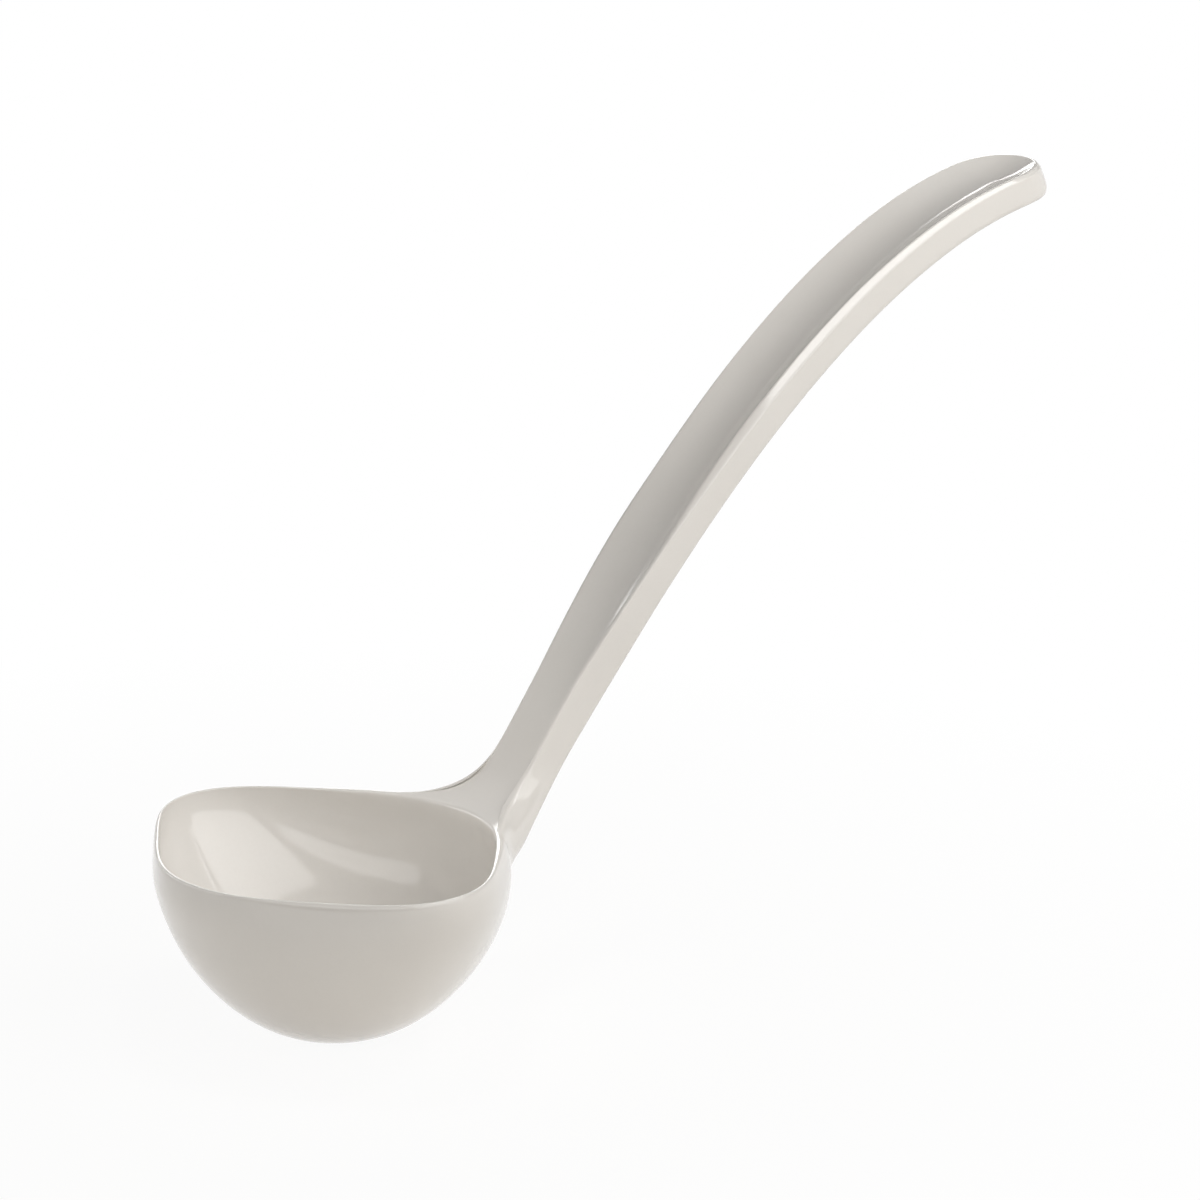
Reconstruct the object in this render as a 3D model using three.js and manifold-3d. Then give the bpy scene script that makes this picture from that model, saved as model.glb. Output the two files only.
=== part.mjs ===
import * as THREE from 'three';
import { mergeVertices } from 'three/addons/utils/BufferGeometryUtils.js';
import Module from 'manifold-3d';

// A moulded melamine soup ladle: a round bowl drawn out into a pouring lip at each side, and a long
// handle with a trough along its top. Millimetres, +Z up, with the rim level. The origin is the centre
// of the flat foot under the bowl, the handle rises towards +X, and the XZ plane is a mirror plane.

// Bowl outline at the rim, from the bowl's axis to the outside of the wall
const frontReach = 44.2;
const backReach = 41.9;
const sideReach = 38;

// Pouring lips: how far they stand out past the side, their bearing from the handle, and their spread
const lipReach = 12.3;
const lipBearing = THREE.MathUtils.degToRad(94);
const lipSpread = THREE.MathUtils.degToRad(28);

// Bowl heights, and the powers that set how full the belly is and how fast the rim's outline fades below it.
// The belly is widest at its equator, a shoulder's height below the rim.
const rimHeight = 45.9;
const shoulderHeight = 7.3;
const bellyPower = 1.76;
const bellyRoundness = 1.56;
const lipFade = 2.2;
const ovalFade = 7.4;

// Bowl wall, the flat foot, and the flat left between the two roundings of the rim
const wall = 2.6;
const floorThickness = 3;
const footRadius = 10;
const rimFlat = 0.6;

// Top edge of the handle in the XZ plane: from the rim out and up to the neck, then on to the tip, with its
// slope at each and how long it keeps to the slopes of the neck and the tip
const neckRun = 12.9;
const neckRise = 9.4;
const shaftRun = 167.7;
const shaftRise = 121.6;
const rootSlope = THREE.MathUtils.degToRad(20);
const neckSlope = THREE.MathUtils.degToRad(52.3);
const tipSlope = THREE.MathUtils.degToRad(3);
const neckStraight = 53.5;
const tipStraight = 71.5;

// Handle sections at the neck, along the shaft, at the grip and near the end
const neckWidth = 13.8;
const shaftWidth = 18.8;
const gripWidth = 20.6;
const endWidth = 22.2;
const neckThickness = 10.8;
const shaftThickness = 9.2;
const gripThickness = 9;
const neckTrough = 0.8;
const shaftTrough = 2;
const gripTrough = 3;

// Lengths along the handle: the narrow neck, then from each of those sections to the next
const neckLength = 20;
const neckToShaft = 37;
const shaftToGrip = 48;
const gripToEnd = 60;

// Edges of the handle, its plan fillet where it flares into the bowl, and its rounded end
const edgeRound = 0.6;
const landWidth = 1.4;
const underRound = 1.6;
const neckFillet = 24;
const tipLength = 13;
const tipFlat = 4.8;
const tipPower = 2.6;
const tipUnderRound = 3;
const tipLean = THREE.MathUtils.degToRad(20);

// How far the stub on the bowl runs past the neck, to the upright plane where the handle begins
const stubLength = 2.2;

// How finely the skins are divided
const bowlSegments = 72;
const wallSteps = 10;
const shoulderSteps = 2;
const neckSteps = 6;
const handleSteps = 20;
const tipSteps = 6;
const troughSteps = 4;

const wasm = await Module();
wasm.setup();

function middle(ring) {
  const sum = ring.reduce((total, point) => total.add(point), new THREE.Vector3());
  return sum.divideScalar(ring.length);
}

// Joins a stack of rings with matching points into one closed skin, with a fan over each end.
function loft(rings) {
  const count = rings[0].length;
  const points = rings.flat();
  const last = rings.length - 1;
  const startMiddle = points.push(middle(rings[0])) - 1;
  const endMiddle = points.push(middle(rings[last])) - 1;
  const index = [];
  for (let i = 0; i < count; i += 1) {
    const j = (i + 1) % count;
    index.push(startMiddle, j, i);
    index.push(endMiddle, last * count + i, last * count + j);
    for (let ring = 0; ring < last; ring += 1) {
      const low = ring * count;
      const high = low + count;
      index.push(low + i, low + j, high + j, low + i, high + j, high + i);
    }
  }
  const geometry = new THREE.BufferGeometry().setFromPoints(points);
  geometry.setIndex(index);
  return geometry;
}

// Turns a closed geometry into a solid that can be joined and cut.
function toSolid(geometry) {
  geometry.deleteAttribute('normal');
  geometry.deleteAttribute('uv');
  const merged = mergeVertices(geometry);
  const vertProperties = new Float32Array(merged.attributes.position.array);
  const triVerts = new Uint32Array(merged.index.array);
  return new wasm.Manifold(new wasm.Mesh({ numProp: 3, vertProperties, triVerts }));
}

// Turns a finished solid back into a named mesh of the ladle.
function toMesh(name, solid, material) {
  const { vertProperties, triVerts } = solid.getMesh();
  const geometry = new THREE.BufferGeometry();
  geometry.setAttribute('position', new THREE.BufferAttribute(vertProperties, 3));
  geometry.setIndex(new THREE.BufferAttribute(triVerts, 1));
  geometry.computeVertexNormals();
  const mesh = new THREE.Mesh(geometry, material);
  mesh.name = name;
  return mesh;
}

// Bowl: the belly is round below, and swells into its oval outline and its lips towards the rim.
const equatorHeight = rimHeight - shoulderHeight;
const rimRound = (wall - rimFlat) / 2;
const bellyRadius = (frontReach + backReach + 2 * sideReach) / 4;
const ovalShift = (backReach - frontReach) / 2;
const ovalStretch = (frontReach + backReach) / 2 - bellyRadius;

// Distance from the bowl's axis to a skin that lies inset from the outside and starts at a given floor.
function bowlReach(bearing, height, inset, floor) {
  const offLip = (Math.abs(bearing) - lipBearing) / lipSpread;
  const lip = lipReach * Math.exp(-(offLip ** 2));
  const oval = ovalShift * Math.cos(bearing) + ovalStretch * Math.cos(2 * bearing);
  const rise = height / rimHeight;
  const full = bellyRadius + oval * rise ** ovalFade + lip * rise ** lipFade - inset;
  const fullness = (at) => {
    const offEquator = Math.min(1, Math.abs(at - equatorHeight) / (equatorHeight - floor));
    return (1 - offEquator ** bellyPower) ** (1 / bellyRoundness);
  };
  return footRadius + (full - footRadius) * fullness(height) / fullness(rimHeight);
}

function bowlRing(height, inset, floor, shapeHeight = height) {
  return Array.from({ length: bowlSegments }, (_, i) => {
    const bearing = Math.PI * (2 * i / bowlSegments - 1);
    const reach = bowlReach(bearing, shapeHeight, inset, floor);
    return new THREE.Vector3(reach * Math.cos(bearing), reach * Math.sin(bearing), height);
  });
}

// Heights from a floor up to the rounding of the rim, closer together where the belly turns in.
function wallHeights(floor) {
  const heights = [];
  for (let i = 0; i <= wallSteps; i += 1) {
    const turn = (Math.PI / 2) * (i / wallSteps);
    heights.push(floor + (equatorHeight - floor) * (1 - Math.cos(turn)));
  }
  for (let i = 1; i <= shoulderSteps; i += 1) {
    heights.push(equatorHeight + (shoulderHeight - rimRound) * (i / shoulderSteps));
  }
  return heights;
}

function makeBowlShell() {
  const bevel = rimRound * (1 - Math.SQRT1_2);
  const rim = [[bevel, bevel], [rimRound, 0], [wall - rimRound, 0], [wall - bevel, bevel]];
  return loft([
    ...wallHeights(0).map((height) => bowlRing(height, 0, 0)),
    ...rim.map(([inset, drop]) => bowlRing(rimHeight - drop, inset, 0, rimHeight)),
    ...wallHeights(floorThickness).reverse().map((height) => bowlRing(height, wall, floorThickness)),
  ]);
}

// The space that the handle's root stays out of: it reaches half way into the wall, and up past the root.
function makeBowlMouth() {
  const inset = wall / 2;
  return loft([
    ...wallHeights(floorThickness).map((height) => bowlRing(height, inset, floorThickness)),
    bowlRing(rimHeight, inset, 0),
    bowlRing(rimHeight + neckRise, inset, 0, rimHeight),
  ]);
}

// Handle: its top edge sweeps up from the inside of the rim to the neck, then along the shaft to the tip.
const rootPoint = new THREE.Vector3(backReach - wall, 0, rimHeight);
const neckPoint = new THREE.Vector3(backReach + neckRun, 0, rimHeight + neckRise);
const tipPoint = new THREE.Vector3(neckPoint.x + shaftRun, 0, neckPoint.z + shaftRise);

// The curve between two points of the top edge that leaves and arrives at the given slopes.
function edgeCurve(start, startSlope, startLength, end, endSlope, endLength) {
  const heading = (slope) => new THREE.Vector3(Math.cos(slope), 0, Math.sin(slope));
  const leaving = start.clone().addScaledVector(heading(startSlope), startLength);
  const arriving = end.clone().addScaledVector(heading(endSlope), -endLength);
  return new THREE.CubicBezierCurve3(start, leaving, arriving, end);
}

const sweepHold = rootPoint.distanceTo(neckPoint) / 3;
const sweep = edgeCurve(rootPoint, rootSlope, sweepHold, neckPoint, neckSlope, sweepHold);
const shaft = edgeCurve(neckPoint, neckSlope, neckStraight, tipPoint, tipSlope, tipStraight);
const shaftLength = shaft.getLength();

// How much the plan fillet adds to each side: its round is tangent to the neck's side and to the bowl.
const filletReach = Math.sqrt((backReach + neckFillet) ** 2 - (neckWidth / 2 + neckFillet) ** 2);
function neckFlare(x) {
  const short = Math.max(0, filletReach - x);
  return neckFillet - Math.sqrt(neckFillet ** 2 - short ** 2);
}

// A size that changes smoothly from the neck's section to the shaft's, the grip's and the end's.
function sizeAlong(station, ...sizes) {
  const lengths = [neckLength, neckToShaft, shaftToGrip, gripToEnd];
  const stations = sizes.map((_, i) => lengths.slice(0, i + 1).reduce((sum, length) => sum + length));
  return new THREE.CubicInterpolant(stations, sizes, 1).evaluate(station)[0];
}

// One closed section: the trough, the land beside it, the sides and the underside. It stands square to the
// top edge, or leans so that its underside lies further along the handle. Narrowing draws in its plan.
function section(point, tangent, fullWidth, thickness, fullTrough, narrowing = 1, lean = 0) {
  const square = new THREE.Vector3(tangent.z, 0, -tangent.x);
  const down = square.addScaledVector(tangent, Math.tan(lean));
  const [halfWidth, edge, land, under, trough] = [fullWidth / 2, edgeRound, landWidth, underRound, fullTrough]
    .map((size) => size * narrowing);
  const bevel = under * (1 - Math.SQRT1_2);
  const half = [];
  for (let i = 1; i <= troughSteps; i += 1) {
    const share = i / troughSteps;
    half.push([(halfWidth - land) * share, trough * (1 - share ** 2)]);
  }
  half.push([halfWidth - edge, 0], [halfWidth, edge], [halfWidth, thickness - under]);
  half.push([halfWidth - bevel, thickness - bevel], [halfWidth - under, thickness]);
  const outline = [[0, trough], ...half.map(([y, depth]) => [-y, depth]), ...half.reverse()];
  return outline.map(([y, depth]) => point.clone().addScaledVector(down, depth).setY(y));
}

function makeHandle() {
  const rings = [];
  // Root: the sides flare along a plan fillet that runs tangent into the round of the bowl
  for (let i = 0; i < neckSteps; i += 1) {
    const point = sweep.getPointAt(i / neckSteps);
    const width = neckWidth + 2 * neckFlare(point.x);
    const trough = neckTrough * (i / neckSteps);
    rings.push(section(point, sweep.getTangentAt(i / neckSteps), width, neckThickness, trough));
  }
  const addShaftSection = (station, thinning = 0, narrowing = 1, lean = 0) => {
    const share = station / shaftLength;
    const point = shaft.getPointAt(share);
    const flare = 2 * neckFlare(point.x);
    const width = sizeAlong(station, neckWidth, shaftWidth, gripWidth, endWidth) + flare;
    const thickness = sizeAlong(station, neckThickness, shaftThickness, gripThickness) - thinning;
    const trough = sizeAlong(station, neckTrough, shaftTrough, gripTrough);
    rings.push(section(point, shaft.getTangentAt(share), width, thickness, trough, narrowing, lean));
  };
  const roundingStart = shaftLength - tipLength;
  for (let i = 0; i <= handleSteps; i += 1) {
    addShaftSection(roundingStart * (i / handleSteps));
  }
  // End: the plan draws in along a full round curve to a small flat, and the underside turns up to meet it
  const fullTurn = Math.asin((1 - (tipFlat / endWidth) ** tipPower) ** (1 / tipPower));
  for (let i = 1; i <= tipSteps; i += 1) {
    const share = Math.sin(fullTurn * (i / tipSteps));
    const left = tipLength * (1 - share);
    const turned = Math.max(0, 1 - left / tipUnderRound);
    const thinning = tipUnderRound * (1 - Math.sqrt(1 - turned ** 2));
    const narrowing = (1 - share ** tipPower) ** (1 / tipPower);
    addShaftSection(shaftLength - left, thinning, narrowing, tipLean * share);
  }
  return loft(rings);
}

// Everything past the dividing plane, as a block that is larger than the handle.
function makeBeyondDivide() {
  const size = 2 * (tipPoint.x + tipPoint.z);
  return new THREE.BoxGeometry(size, size, size).translate(neckPoint.x + stubLength + size / 2, 0, 0);
}

function makeMelamine() {
  return new THREE.MeshStandardMaterial({ color: 0xe4dfd8, roughness: 0.18, metalness: 0 });
}

const beyondDivide = toSolid(makeBeyondDivide());
const wholeHandle = toSolid(makeHandle()).subtract(toSolid(makeBowlMouth()));
const bowl = toSolid(makeBowlShell()).add(wholeHandle.subtract(beyondDivide));
const handle = wholeHandle.intersect(beyondDivide);

const ladle = new THREE.Group();
ladle.add(toMesh('bowl', bowl, makeMelamine()));
ladle.add(toMesh('handle', handle, makeMelamine()));

export default ladle;
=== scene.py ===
from bisect import bisect_right
from math import asin, atan2, cos, exp, pi, radians, sin, sqrt, tan

import bmesh
import bpy
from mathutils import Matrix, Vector
from mathutils.geometry import interpolate_bezier


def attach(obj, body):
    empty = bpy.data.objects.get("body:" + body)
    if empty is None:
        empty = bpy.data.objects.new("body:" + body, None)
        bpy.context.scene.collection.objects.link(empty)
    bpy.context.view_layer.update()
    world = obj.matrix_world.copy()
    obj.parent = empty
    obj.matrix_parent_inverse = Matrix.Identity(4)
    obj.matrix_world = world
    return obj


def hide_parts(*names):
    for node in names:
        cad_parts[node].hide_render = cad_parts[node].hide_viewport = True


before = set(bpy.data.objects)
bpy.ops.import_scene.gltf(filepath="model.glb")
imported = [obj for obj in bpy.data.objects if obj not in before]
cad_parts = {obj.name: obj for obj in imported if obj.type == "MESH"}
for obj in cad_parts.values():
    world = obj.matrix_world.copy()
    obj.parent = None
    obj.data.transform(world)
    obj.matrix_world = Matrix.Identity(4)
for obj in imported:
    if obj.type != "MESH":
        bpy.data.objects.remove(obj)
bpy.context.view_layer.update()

# Bowl of the ladle: a thin round shell with a pouring lip drawn out at each side and a small flat foot.
# It is pressed from melamine powder in a polished steel mould, in one shot with the handle, so its wall is
# even, its rim is rolled over, and the neck grows out of it with no seam. Sizes here are in millimetres.
front_reach = 44.2
back_reach = 41.9
side_reach = 38.0
rim_height = 45.9
shoulder_height = 7.3
belly_power = 1.80
belly_roundness = 1.56
oval_fade = 7.4
foot_radius = 10.0
lip_reach = 12.3
lip_bearing = radians(96)
lip_spread = radians(30)
lip_fade = 2.2
lip_lift = 0.6
lip_lift_spread = radians(26)
upper_wall_start = 26.0
front_swell = 0.6
front_swell_spread = radians(32)
front_swell_height = 39.5
front_swell_fade = 5.0
collar_height = 8.0
collar_power = 1.7
collar_lean = 0.5
collar_lean_start = radians(95)
collar_lean_turn = radians(30)
corner_bearing = radians(137)
corner_spread = radians(25)
corner_lean = 0.35
corner_tuck = 0.45
corner_tuck_height = 41.5
corner_tuck_fade = 4.0

equator_height = rim_height - shoulder_height
belly_radius = (front_reach + back_reach + 2 * side_reach) / 4
oval_shift = (back_reach - front_reach) / 2
oval_stretch = (front_reach + back_reach) / 2 - belly_radius


def clamped(share):
    return min(max(share, 0), 1)


def eased(share):
    """A share that starts and ends gently."""
    return share * share * (3 - 2 * share)


def belly_reach(bearing, height, inset, floor):
    """Distance from the bowl's axis to a skin that lies inset from the outside and starts at a floor."""
    turn = abs(bearing)
    rise = height / rim_height
    lip = lip_reach * exp(-((turn - lip_bearing) / lip_spread) ** 2)
    oval = oval_shift * cos(bearing) + oval_stretch * cos(2 * bearing)
    full = belly_radius + oval * rise ** oval_fade + lip * rise ** lip_fade - inset
    from_front = (pi - turn) / front_swell_spread
    from_swell = (height - front_swell_height) / front_swell_fade
    full += front_swell * exp(-from_front ** 2 - from_swell ** 2)
    corner = exp(-((turn - corner_bearing) / corner_spread) ** 4)
    lean = collar_lean * eased(clamped((turn - collar_lean_start) / collar_lean_turn))
    lean += corner_lean * corner
    full -= lean * max(0, 1 - (rim_height - height) / collar_height) ** collar_power
    full -= corner_tuck * corner * exp(-((height - corner_tuck_height) / corner_tuck_fade) ** 2)

    def fullness(at):
        off_equator = min(1.0, abs(at - equator_height) / (equator_height - floor))
        return (1 - off_equator ** belly_power) ** (1 / belly_roundness)

    return foot_radius + (full - foot_radius) * fullness(height) / fullness(rim_height)


def upper_wall(height):
    """0 on the lower wall, growing to 1 at the rim."""
    return max(0, (height - upper_wall_start) / (rim_height - upper_wall_start))


def bowl_point(bearing, reach, height):
    """A point of the bowl; the upper wall rises a little at each lip."""
    lift = lip_lift * exp(-((abs(bearing) - lip_bearing) / lip_lift_spread) ** 2)
    lift *= upper_wall(height) ** 2
    return Vector((reach * cos(bearing), reach * sin(bearing), height + lift))


def outside_point(bearing, height):
    return bowl_point(bearing, belly_reach(bearing, height, 0, 0), height)


def open_edges(skin):
    return [edge for edge in skin.edges if edge.is_boundary]


def grow(skin, place):
    """Extrudes the open edge of the skin and puts each new vertex where place(bearing) says."""
    grown = bmesh.ops.extrude_edge_only(skin, edges=open_edges(skin))
    ring = [part for part in grown["geom"] if isinstance(part, bmesh.types.BMVert)]
    for vert in ring:
        vert.co = place(atan2(vert.co.y, vert.co.x))
    return ring


# The outside grows from the foot up to the rim
bowl_segments = 96
foot_middle = 0.6
foot_edge = 0.9
outside_heights = [0.12, 0.7, 1.8, 3.4, 5.5, 8.1, 11.2, 14.8, 18.6, 22.4, 26.2, 29.8]
skin = bmesh.new()
bmesh.ops.create_circle(skin, cap_ends=True, radius=foot_middle * foot_radius, segments=bowl_segments)
grow(skin, lambda bearing: bowl_point(bearing, foot_edge * foot_radius, 0))
for height in outside_heights:
    grow(skin, lambda bearing: outside_point(bearing, height))

# The rows from here to the crest of the rim are the ones that the neck springs from
neck_row_heights = [33.2, 36.3, 39.0]
neck_rows = []
for height in neck_row_heights:
    neck_rows.append(grow(skin, lambda bearing: outside_point(bearing, height)))

# The rim is rolled over a thinned wall, and it is thicker and rolled more softly where the neck rises
wall = 2.6
rim_wall = 1.2
rim_thinning_power = 1.5
rim_inner_radius = 0.5
neck_spread = radians(56)
neck_wall_extra = 0.7
neck_inner_radius_extra = 1.1
neck_outer_inset_extra = 1.5
neck_outer_drop_extra = 0.6
collar_drop = 4.6
outer_roll = [(0.02, 2.3), (0.15, 0.8), (0.4, 0.15)]
inner_roll = [(0.3, 0.1), (0.02, 0.5), (0, 1.8)]


def neck_side(bearing):
    """1 where the neck rises from the rim, fading to 0 along the rest of the rim."""
    return exp(-(bearing / neck_spread) ** 4)


def wall_at(bearing, height):
    """Thickness of the wall, which thins towards the rim except under the neck."""
    thinned = wall - rim_wall - (wall - rim_wall + neck_wall_extra) * neck_side(bearing)
    return wall - thinned * upper_wall(height) ** rim_thinning_power


def rim_point(bearing, inset, drop):
    height = rim_height - drop
    return bowl_point(bearing, belly_reach(bearing, height, 0, 0) - inset, height)


def outer_rim_point(bearing, inset, drop):
    """A point of the rim's outer edge, which is rolled more softly towards the neck."""
    neck = neck_side(bearing)
    soft_inset = inset * (1 + neck_outer_inset_extra * neck)
    soft_drop = drop * (1 + neck_outer_drop_extra * neck)
    return rim_point(bearing, soft_inset, soft_drop)


def inner_rim_point(bearing, back, drop):
    """A point of the rim's inner edge, with its place given in radii of that edge."""
    radius = rim_inner_radius + neck_inner_radius_extra * neck_side(bearing)
    return rim_point(bearing, wall_at(bearing, rim_height) - back * radius, drop * radius)


neck_rows.append(grow(skin, lambda bearing: rim_point(bearing, 0, collar_drop)))
for inset, drop in outer_roll:
    neck_rows.append(grow(skin, lambda bearing: outer_rim_point(bearing, inset, drop)))
neck_rows.append(grow(skin, lambda bearing: inner_rim_point(bearing, 1, 0)))
for back, drop in inner_roll:
    grow(skin, lambda bearing: inner_rim_point(bearing, back, drop))

# The inside goes down from the rim to the floor of the bowl
floor_thickness = 3.0
floor_rings = [0.8, 0.4]
inside_heights = [41.6, 38.0, 34.2, 30.0, 25.8, 21.6, 17.6, 14.0, 10.8, 8.2, 6.2, 4.7, 3.7, 3.15]


def inside_point(bearing, height):
    reach = belly_reach(bearing, height, wall_at(bearing, height), floor_thickness)
    return bowl_point(bearing, reach, height)


for height in inside_heights:
    grow(skin, lambda bearing: inside_point(bearing, height))
for ring_share in floor_rings:
    grow(skin, lambda bearing: bowl_point(bearing, ring_share * foot_radius, floor_thickness))
bmesh.ops.edgeloop_fill(skin, edges=open_edges(skin))

# A patch of the outer wall and the rim is opened at the back, where the neck grows out
neck_columns = 8
neck_rows.reverse()
last_row = len(neck_rows) - 1
bearing_step = 2 * pi / bowl_segments
slots = {}
for row, ring in enumerate(neck_rows):
    for vert in ring:
        column = round(atan2(vert.co.y, vert.co.x) / bearing_step)
        if abs(column) <= neck_columns:
            slots[vert] = (column, row)
patch = [face for face in skin.faces if all(vert in slots for vert in face.verts)]
bmesh.ops.delete(skin, geom=patch, context="FACES")
slots = {vert: slot for vert, slot in slots.items() if vert.is_valid}

# Handle of the ladle: a long bar that sweeps up from the rim and levels out at its end. Its top is hollowed
# into a trough with a rolled land along each edge, its sides are flat, and its end is rounded in plan.
# It is part of the same pressing, so the skin goes on from the open patch without a break.
neck_run = 12.9
neck_rise = 9.4
neck_slope = radians(52.3)
neck_straight = 53.5
shaft_run = 168.0
shaft_rise = 121.6
tip_slope = radians(3)
tip_straight = 71.5
sweep_points = 600

neck_top = Vector((back_reach + neck_run, 0, rim_height + neck_rise))
tip_top = neck_top + Vector((shaft_run, 0, shaft_rise))
leaving = neck_top + neck_straight * Vector((cos(neck_slope), 0, sin(neck_slope)))
arriving = tip_top - tip_straight * Vector((cos(tip_slope), 0, sin(tip_slope)))
top_points = interpolate_bezier(neck_top, leaving, arriving, tip_top, sweep_points)
top_stations = [0.0]
for start, end in zip(top_points, top_points[1:]):
    top_stations.append(top_stations[-1] + (end - start).length)
shaft_length = top_stations[-1]


def top_edge(station):
    """Point and direction of the middle of the handle's top, at a length along it from the neck."""
    place = min(max(bisect_right(top_stations, station) - 1, 0), len(top_points) - 2)
    start = top_points[place]
    along = (top_points[place + 1] - start).normalized()
    return start + along * (station - top_stations[place]), along


def size_along(station, knots):
    """A size that runs smoothly through the given (station, size) knots."""
    if station <= knots[0][0]:
        return knots[0][1]
    if station >= knots[-1][0]:
        return knots[-1][1]

    def slope_at(knot):
        before = knots[max(knot - 1, 0)]
        after = knots[min(knot + 1, len(knots) - 1)]
        return (after[1] - before[1]) / (after[0] - before[0])

    passed = max(knot for knot in range(len(knots) - 1) if knots[knot][0] <= station)
    start, start_size = knots[passed]
    end, end_size = knots[passed + 1]
    span = end - start
    share = (station - start) / span
    leave = span * slope_at(passed) * share * (1 - share) ** 2
    arrive = span * slope_at(passed + 1) * share * share * (share - 1)
    return start_size + (end_size - start_size) * eased(share) + leave + arrive


# The section of the handle, as sizes in millimetres at lengths along its top
handle_widths = [(20, 14.3), (57, 19.2), (105, 21.6), (165, 23.0)]
handle_thicknesses = [(5, 9.6), (22, 10.2), (57, 8.9), (105, 8.8), (165, 8.6), (shaft_length - 13, 8.2)]
trough_depths = [(0, 0.05), (14, 0.4), (28, 1.0), (57, 2.0), (105, 3.0)]
trough_edge_rounds = [(0, 1.0), (58, 0.7), (76, 1.9), (95, 1.1), (112, 0.4)]
land_widths = [(0, 1.4), (20, 1.1), (58, 1.0), (76, 1.5), (95, 1.85), (120, 1.75),
               (shaft_length - 45, 1.45), (shaft_length - 24, 1.3), (shaft_length - 8, 1.3)]
land_rolls = [(0, 0.03), (58, 0.06), (80, 0.3), (105, 0.1)]
chamfers = [(0, 0.6), (8, 0.5), (22, 0.35), (64, 0.4), (82, 1.0), (102, 1.4), (130, 1.45),
            (shaft_length - 45, 1.15), (shaft_length - 20, 0.9), (shaft_length - 8, 0.8)]
top_lifts = [(60, 0), (105, 0.5), (165, 0.55), (shaft_length - 24, 0.3), (shaft_length - 10, 0)]
lift_thickening = 0.4
under_round = 1.3
slender_half = 6.0
tip_length = 15.0
tip_power = 2.4
tip_under_round = 7.2
tip_lean = radians(26)
trough_end = 0.8
trough_run_out = 12.5
run_out_power = 1.7
run_out_narrowing = 0.9
trough_least_half = 0.3
trough_edge_most = 0.25

# Where the section's points lie: across the trough and the land, down the side, and in the lower corner
trough_columns = [0, 0.3, 0.56, 0.78, 1]
land_middle = 0.45
land_middle_drop = 0.3
chamfer_middle = 0.5
side_rows = [0, 0.05, 0.3, 0.55, 0.8, 1]
under_corner_in = 0.15
under_corner_up = 0.12


def section_point(station, column, row):
    """A point of the handle's cross-section: row 0 is its top, the last row its underside."""
    point, along = top_edge(station)
    left = shaft_length - station
    tip_share = clamped(1 - left / tip_length)
    narrowing = (1 - tip_share ** tip_power) ** (1 / tip_power)
    turned = clamped(1 - left / tip_under_round)
    thinning = tip_under_round * (1 - sqrt(1 - turned ** 2))
    lift = size_along(station, top_lifts)
    half = narrowing * size_along(station, handle_widths) / 2
    thickness = size_along(station, handle_thicknesses) + lift_thickening * lift - thinning
    roll = size_along(station, land_rolls)
    slender = min(1, half / slender_half)
    chamfer = size_along(station, chamfers) * slender
    under = under_round * slender
    run_out = 1 - clamped((left - trough_end) / trough_run_out)
    land = size_along(station, land_widths)
    trough_half = max(trough_least_half * half, half - land - run_out_narrowing * run_out)
    trough_edge = min(size_along(station, trough_edge_rounds), trough_edge_most * trough_half)
    depth = size_along(station, trough_depths) * (1 - run_out ** run_out_power)
    side = abs(column)
    if row == 0 and side < len(trough_columns):
        across = trough_columns[side] * (trough_half - trough_edge)
        down = depth * (1 - (across / trough_half) ** 2)
    elif row == 0:
        land_places = [
            (trough_half, 0),
            (trough_half + land_middle * (half - chamfer - trough_half), land_middle_drop * roll),
            (half - chamfer, roll),
            (half - chamfer_middle * chamfer, roll + chamfer_middle * chamfer),
        ]
        across, down = land_places[side - len(trough_columns)]
    elif row < last_row:
        upper = roll + chamfer
        lower = thickness - under
        across = half
        down = upper + (lower - upper) * side_rows[row - 1]
    elif side < neck_columns:
        across = (half - under) * side / (neck_columns - 1)
        down = thickness
    else:
        across = half - under_corner_in * under
        down = thickness - under_corner_up * under
    square = Vector((along.z, 0, -along.x)) + along * tan(tip_lean * tip_share)
    sideways = Vector((0, across if column > 0 else -across, 0))
    return point + sideways + square * (down - lift)


# The neck leaves the bowl along its rim and wall, and bends into the handle's first section
neck_end = 5.6
neck_steps = 8
root_slope = radians(14)
wall_lean = 0.1
side_round_loss = 0.23
side_outward = 0.5
side_upward = 0.37
under_outward = 0.35
under_edge_outward = 0.15
under_edge_round = 0.77
under_edge_upward_loss = 0.63
root_hold = 0.5
root_hold_under_loss = 0.34
root_hold_edge = 0.07
neck_hold = 0.36
neck_hold_edge = 0.05


def neck_start(column, row, base):
    """Direction in which the skin leaves the bowl: out along the rim, round the wall, or up the wall."""
    bearing = atan2(base.y, base.x)
    outward = Vector((cos(bearing), sin(bearing), 0))
    upward = Vector((wall_lean * cos(bearing), wall_lean * sin(bearing), 1))
    round_wall = Vector((sin(abs(bearing)), -cos(bearing) if bearing > 0 else cos(bearing), 0))
    spread = abs(column) / neck_columns
    fall = row / last_row
    if row == 0:
        straight = outward * cos(root_slope) + upward * sin(root_slope)
        way = straight * (1 - spread ** 2) + round_wall * spread ** 2
    elif row == last_row:
        way = upward * (1 - under_edge_upward_loss * spread ** 2)
        way += outward * (under_outward + under_edge_outward * spread)
        way += round_wall * under_edge_round * spread
    else:
        way = round_wall * (1 - side_round_loss * fall)
        way += outward * side_outward * fall
        way += upward * side_upward * fall
    return way.normalized()


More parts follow.
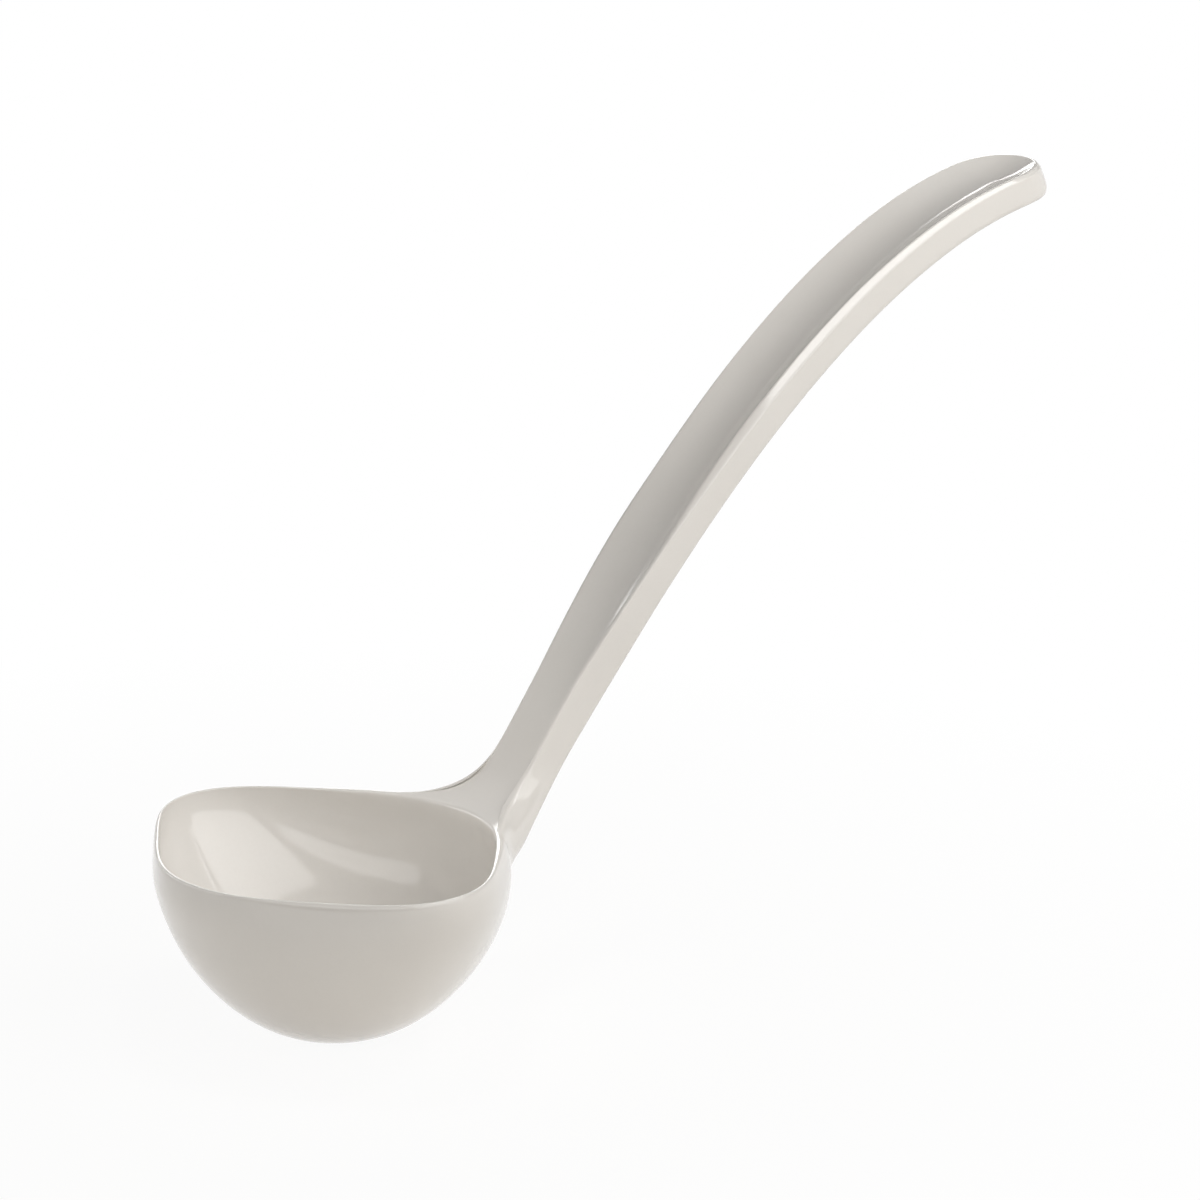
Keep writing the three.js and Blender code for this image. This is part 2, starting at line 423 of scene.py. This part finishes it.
def neck_point(share, column, row):
    """A point on the smooth path from the bowl's wall to the matching point of the handle's section."""
    base = bases[(column, row)]
    goal = section_point(neck_end, column, row)
    reach = (goal - base).length
    along = top_edge(neck_end)[1]
    edge = (column / neck_columns) ** 2 * (1 - row / last_row)
    hold = root_hold - root_hold_under_loss * row / last_row + root_hold_edge * edge
    first = base + neck_start(column, row, base) * hold * reach
    second = goal - along * (neck_hold + neck_hold_edge * edge) * reach
    stay = 1 - share
    point = base * stay ** 3
    point += first * 3 * stay ** 2 * share
    point += second * 3 * stay * share ** 2
    point += goal * share ** 3
    return point


def grow_handle(skin, slots, place):
    """Extrudes the open end of the handle and puts each new vertex where place(column, row, old) says."""
    grown = bmesh.ops.extrude_edge_only(skin, edges=open_edges(skin))
    new_slots = {}
    for part in grown["geom"]:
        if isinstance(part, bmesh.types.BMVert):
            old = next(edge.other_vert(part) for edge in part.link_edges if edge.other_vert(part) in slots)
            new_slots[part] = slots[old]
    for vert, (column, row) in new_slots.items():
        vert.co = place(column, row, vert.co.copy())
    return new_slots


slots = {vert: slot for vert, slot in slots.items() if any(edge.is_boundary for edge in vert.link_edges)}
bases = {slot: vert.co.copy() for vert, slot in slots.items()}
for step in range(1, neck_steps + 1):
    share = step / neck_steps
    slots = grow_handle(skin, slots, lambda column, row, old: neck_point(share, column, row))

# The shaft goes on in even steps, and the rounded end in steps that close up towards its flat face
shaft_steps = 36
tip_steps = 14
tip_lead = 4.0
tip_flat = 4.8
tip_width = 22.2
tip_start = shaft_length - tip_length - tip_lead
full_turn = asin((1 - (tip_flat / tip_width) ** tip_power) ** (1 / tip_power))
stations = []
for step in range(1, shaft_steps + 1):
    stations.append(neck_end + (tip_start - neck_end) * step / shaft_steps)
for step in range(1, tip_steps + 1):
    reach = sin(full_turn * step / tip_steps)
    stations.append(min(tip_start + (tip_length + tip_lead) * reach, shaft_length))
for station in stations:
    slots = grow_handle(skin, slots, lambda column, row, old: section_point(station, column, row))

# The root of the neck, below the rim, is blended into the outer wall like a mould's hand-worked fillet
rim_rows = 3
root_blend = 5.5
root_passes = 6
outer_skin = 1.0
root_points = [base for (column, row), base in bases.items() if row >= rim_rows]
root = []
for vert in skin.verts:
    reach = sqrt(vert.co.x ** 2 + vert.co.y ** 2)
    wall_reach = belly_reach(atan2(vert.co.y, vert.co.x), min(vert.co.z, rim_height), 0, 0)
    to_root = min((vert.co - point).length for point in root_points)
    if reach > wall_reach - outer_skin and to_root < root_blend:
        root.append(vert)
for blending in range(root_passes):
    bmesh.ops.smooth_vert(skin, verts=root, factor=0.5, use_axis_x=True, use_axis_y=True, use_axis_z=True)

# The flat face of the end is closed in two rings, and the skin is scaled to metres
end_rings = [0.2, 0.5]
to_metres = 0.001
end_middle = sum((vert.co for vert in slots), Vector()) / len(slots)
for inward in end_rings:
    slots = grow_handle(skin, slots, lambda column, row, old: old.lerp(end_middle, inward))
bmesh.ops.edgeloop_fill(skin, edges=open_edges(skin))
bmesh.ops.recalc_face_normals(skin, faces=skin.faces)
bmesh.ops.scale(skin, vec=(to_metres, to_metres, to_metres), verts=skin.verts)
for face in skin.faces:
    face.smooth = True

# Bowl and handle as two pieces: the whole pressing is smoothed once, and then divided on the plane across the
# neck where the record parts them. The real ladle has no seam there, so the gloss has to run on over it.
divide_past_neck = 2.2
divide = to_metres * (back_reach + neck_run + divide_past_neck)
pressing_mesh = bpy.data.meshes.new("pressing")
skin.to_mesh(pressing_mesh)
skin.free()
pressing = bpy.data.objects.new("pressing", pressing_mesh)
bpy.context.scene.collection.objects.link(pressing)
smoothing = pressing.modifiers.new("smooth skin", "SUBSURF")
smoothing.levels = 2
smoothing.render_levels = 2
shown = bpy.context.evaluated_depsgraph_get()
smooth_mesh = bpy.data.meshes.new_from_object(pressing.evaluated_get(shown))
bpy.data.objects.remove(pressing)


def cut_piece(name, keep_bowl):
    """One side of the pressing, closed flat on the dividing plane."""
    piece = bmesh.new()
    piece.from_mesh(smooth_mesh)
    mould_normal = piece.verts.layers.float_vector.new("mould_normal")
    for vert in piece.verts:
        vert[mould_normal] = vert.normal
    everything = piece.verts[:] + piece.edges[:] + piece.faces[:]
    bmesh.ops.bisect_plane(
        piece, geom=everything, dist=1e-7, plane_co=(divide, 0, 0), plane_no=(1, 0, 0),
        clear_outer=keep_bowl, clear_inner=not keep_bowl)
    edges = open_edges(piece)
    for edge in edges:
        edge.smooth = False
    closed = bmesh.ops.edgeloop_fill(piece, edges=edges)
    for face in closed["faces"]:
        face.smooth = False
    bmesh.ops.recalc_face_normals(piece, faces=closed["faces"])
    mesh = bpy.data.meshes.new(name)
    piece.to_mesh(mesh)
    piece.free()
    # The skin keeps the normals of the whole pressing, and only the closing face has its own
    mould_normals = mesh.attributes["mould_normal"].data
    corner_normals = []
    for polygon in mesh.polygons:
        for index in polygon.vertices:
            if polygon.use_smooth:
                corner_normals.append(mould_normals[index].vector.normalized())
            else:
                corner_normals.append(polygon.normal)
    mesh.normals_split_custom_set(corner_normals)
    mesh.attributes.remove(mesh.attributes["mould_normal"])
    made = bpy.data.objects.new(name, mesh)
    bpy.context.scene.collection.objects.link(made)
    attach(made, "root")
    return made


bowl = cut_piece("bowl_skin", True)
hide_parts("bowl")
handle = cut_piece("handle_skin", False)
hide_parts("handle")

# Melamine resin filled with cellulose and a warm white pigment, and polished by the mould. Its colour clouds
# very slightly where the powder flowed, its gloss varies a little, and its face has a faint orange peel.
deep_white = (0.788, 0.758, 0.716, 1)
pale_white = (0.812, 0.784, 0.744, 1)
filler_speck = (0.775, 0.746, 0.702, 1)
melamine = bpy.data.materials.new("glossy melamine")
melamine.use_nodes = True
resin = melamine.node_tree
gloss = resin.nodes["Principled BSDF"]
gloss.inputs["IOR"].default_value = 1.65
own_frame = resin.nodes.new("ShaderNodeTexCoord")


def cloud(scale, detail):
    """Noise in the object's own frame; the scale is in clouds per metre."""
    noise = resin.nodes.new("ShaderNodeTexNoise")
    noise.inputs["Scale"].default_value = scale
    noise.inputs["Detail"].default_value = detail
    resin.links.new(own_frame.outputs["Object"], noise.inputs["Vector"])
    return noise.outputs["Fac"]


def stretch(tree, value, start, end, low, high):
    """Stretches a value that runs from start to end, so that it runs from low to high."""
    stretched = tree.nodes.new("ShaderNodeMapRange")
    stretched.inputs["From Min"].default_value = start
    stretched.inputs["From Max"].default_value = end
    stretched.inputs["To Min"].default_value = low
    stretched.inputs["To Max"].default_value = high
    tree.links.new(value, stretched.inputs["Value"])
    return stretched.outputs["Result"]


def clouded(scale, detail, low, high):
    """A cloud stretched from the middle range, where noise mostly lies, to a range of its own."""
    return stretch(resin, cloud(scale, detail), start=0.3, end=0.7, low=low, high=high)


flow = resin.nodes.new("ShaderNodeMix")
flow.data_type = "RGBA"
flow.inputs["A"].default_value = deep_white
flow.inputs["B"].default_value = pale_white
resin.links.new(clouded(scale=28, detail=3, low=0, high=1), flow.inputs["Factor"])
pigment = resin.nodes.new("ShaderNodeMix")
pigment.data_type = "RGBA"
pigment.inputs["B"].default_value = filler_speck
resin.links.new(flow.outputs["Result"], pigment.inputs["A"])
resin.links.new(clouded(scale=1400, detail=2, low=0, high=0.3), pigment.inputs["Factor"])
resin.links.new(pigment.outputs["Result"], gloss.inputs["Base Color"])
resin.links.new(clouded(scale=90, detail=4, low=0.07, high=0.11), gloss.inputs["Roughness"])
peel = resin.nodes.new("ShaderNodeBump")
peel.inputs["Strength"].default_value = 0.25
peel.inputs["Distance"].default_value = 0.00004
resin.links.new(cloud(scale=220, detail=2), peel.inputs["Height"])
resin.links.new(peel.outputs["Normal"], gloss.inputs["Normal"])
bowl.data.materials.append(melamine)
handle.data.materials.append(melamine)

# Floor: a plain white table top. The camera and the gloss see it as a white ground, and near the ladle a part
# of its own shading stays, so that the ladle keeps its soft shadow.
bench = bmesh.new()
bmesh.ops.create_circle(bench, cap_ends=True, radius=1.6, segments=96)
floor_mesh = bpy.data.meshes.new("floor")
bench.to_mesh(floor_mesh)
bench.free()
floor = bpy.data.objects.new("floor", floor_mesh)
bpy.context.scene.collection.objects.link(floor)
ground = bpy.data.materials.new("white table top")
ground.use_nodes = True
table = ground.node_tree
matt = table.nodes["Principled BSDF"]
matt.inputs["Base Color"].default_value = (0.92, 0.885, 0.83, 1)
matt.inputs["Roughness"].default_value = 0.8
lit = table.nodes.new("ShaderNodeEmission")
rays = table.nodes.new("ShaderNodeLightPath")
where = table.nodes.new("ShaderNodeTexCoord")
away = table.nodes.new("ShaderNodeVectorMath")
away.operation = "LENGTH"
table.links.new(where.outputs["Object"], away.inputs[0])


def mirrored(tree, rays):
    """1 for the rays in which gloss or glass mirrors or passes on its surroundings."""
    either = tree.nodes.new("ShaderNodeMath")
    either.operation = "MAXIMUM"
    tree.links.new(rays.outputs["Is Glossy Ray"], either.inputs[0])
    tree.links.new(rays.outputs["Is Transmission Ray"], either.inputs[1])
    return either.outputs["Value"]


def mix_shaders(tree, share, first, second):
    """The first shader where the share is 0, and the second where it is 1."""
    mixed = tree.nodes.new("ShaderNodeMixShader")
    tree.links.new(share, mixed.inputs["Fac"])
    tree.links.new(first, mixed.inputs[1])
    tree.links.new(second, mixed.inputs[2])
    return mixed.outputs["Shader"]


whiten = table.nodes.new("ShaderNodeMath")
whiten.operation = "MULTIPLY_ADD"
whiteness = stretch(table, away.outputs["Value"], start=0.03, end=0.3, low=0.93, high=1)
table.links.new(rays.outputs["Is Camera Ray"], whiten.inputs[0])
table.links.new(whiteness, whiten.inputs[1])
table.links.new(mirrored(table, rays), whiten.inputs[2])
top = mix_shaders(table, whiten.outputs["Value"], matt.outputs["BSDF"], lit.outputs["Emission"])
table.links.new(top, table.nodes["Material Output"].inputs["Surface"])
floor.data.materials.append(ground)

# Studio: a white wall behind the table, a darker room round the camera and above, soft panels on all sides
# and one small lamp over the bowl. The camera sees white all round, and the gloss mirrors wall and room.
camera_way = (-0.755, -0.656, 0)
studio = bpy.data.worlds.new("studio")
bpy.context.scene.world = studio
studio.use_nodes = True
air = studio.node_tree
fill = air.nodes["Background"]
fill.inputs["Color"].default_value = (1, 0.99, 0.975, 1)
fill.inputs["Strength"].default_value = 0.03
room = air.nodes.new("ShaderNodeBackground")
room.inputs["Color"].default_value = (1, 1, 1, 1)
white = air.nodes.new("ShaderNodeBackground")
white.inputs["Color"].default_value = (1, 1, 1, 1)
rays = air.nodes.new("ShaderNodeLightPath")
look = air.nodes.new("ShaderNodeTexCoord")
split = air.nodes.new("ShaderNodeSeparateXYZ")
air.links.new(look.outputs["Generated"], split.inputs["Vector"])
camera_side = air.nodes.new("ShaderNodeVectorMath")
camera_side.operation = "DOT_PRODUCT"
camera_side.inputs[1].default_value = camera_way
air.links.new(look.outputs["Generated"], camera_side.inputs[0])
shade = air.nodes.new("ShaderNodeMath")
shade.operation = "MINIMUM"
wall_top = stretch(air, split.outputs["Z"], start=0.03, end=0.13, low=1, high=0.3)
wall_end = stretch(air, camera_side.outputs["Value"], start=-0.1, end=0.35, low=1, high=0.2)
air.links.new(wall_top, shade.inputs[0])
air.links.new(wall_end, shade.inputs[1])
air.links.new(shade.outputs["Value"], room.inputs["Strength"])
glossy = mix_shaders(air, mirrored(air, rays), fill.outputs["Background"], room.outputs["Background"])
seen = mix_shaders(air, rays.outputs["Is Camera Ray"], glossy, white.outputs["Background"])
air.links.new(seen, air.nodes["World Output"].inputs["Surface"])


def softbox(name, aim, bearing, lift, distance, width, height, watts):
    """A soft panel that faces a point; the bearing is counted from -Y towards +X, in degrees."""
    lamp = bpy.data.lights.new(name, "AREA")
    lamp.shape = "RECTANGLE"
    lamp.size = width
    lamp.size_y = height
    lamp.energy = watts
    lamp.color = (1, 0.993, 0.982)
    turn = radians(bearing)
    rise = radians(lift)
    towards = Vector((sin(turn) * cos(rise), -cos(turn) * cos(rise), sin(rise)))
    panel = bpy.data.objects.new(name, lamp)
    panel.location = Vector(aim) + towards * distance
    panel.rotation_euler = towards.to_track_quat("Z", "Y").to_euler()
    bpy.context.scene.collection.objects.link(panel)
    return panel


middle = (0.07, 0, 0.08)
upper_handle = (0.165, 0, 0.145)
softbox("front box", middle, bearing=13, lift=27, distance=1.3, width=2.0, height=1.1, watts=11.0)
softbox("handle strip", upper_handle, bearing=14, lift=57, distance=0.34, width=0.36, height=0.1, watts=0.5)
softbox("fill strip", middle, bearing=290, lift=19, distance=1.3, width=1.75, height=0.34, watts=2.5)
softbox("left box", middle, bearing=228, lift=6, distance=1.3, width=1.6, height=0.3, watts=4.4)
softbox("rim box", middle, bearing=142, lift=14, distance=1.3, width=0.6, height=0.36, watts=2.64)
softbox("top box", middle, bearing=0, lift=85, distance=1.2, width=1.2, height=1.2, watts=0.4)
softbox("back strip", middle, bearing=190, lift=8, distance=1.3, width=0.8, height=0.25, watts=1.5)

# The lamp over the bowl opens up the shade inside it, and the gloss doesn't mirror it
in_bowl = (0.006, -0.004, 0.03)
bowl_lamp = softbox(
    "bowl lamp", in_bowl, bearing=0, lift=90, distance=0.22, width=0.05, height=0.05, watts=0.0122)
bowl_lamp.data.spread = radians(50)
bowl_lamp.visible_glossy = False

# Camera: a long lens that looks down on the bowl at 17 degrees, with the handle going away to the right. Its
# place and its turn come from fitting the rim, the belly and the edges of the handle to the photograph.
photo_width = 1200
focal_pixels = 6396
camera_dip = 17.073
camera_turn = -40.688
sensor = 36
lens = bpy.data.cameras.new("camera")
lens.sensor_width = sensor
lens.lens = sensor * focal_pixels / photo_width
camera = bpy.data.objects.new("camera", lens)
camera.location = (-0.87663, -1.11529, 0.54065)
camera.rotation_euler = (radians(90 - camera_dip), 0, radians(camera_turn))
bpy.context.scene.collection.objects.link(camera)
bpy.context.scene.camera = camera
bpy.context.scene.view_settings.view_transform = "Standard"
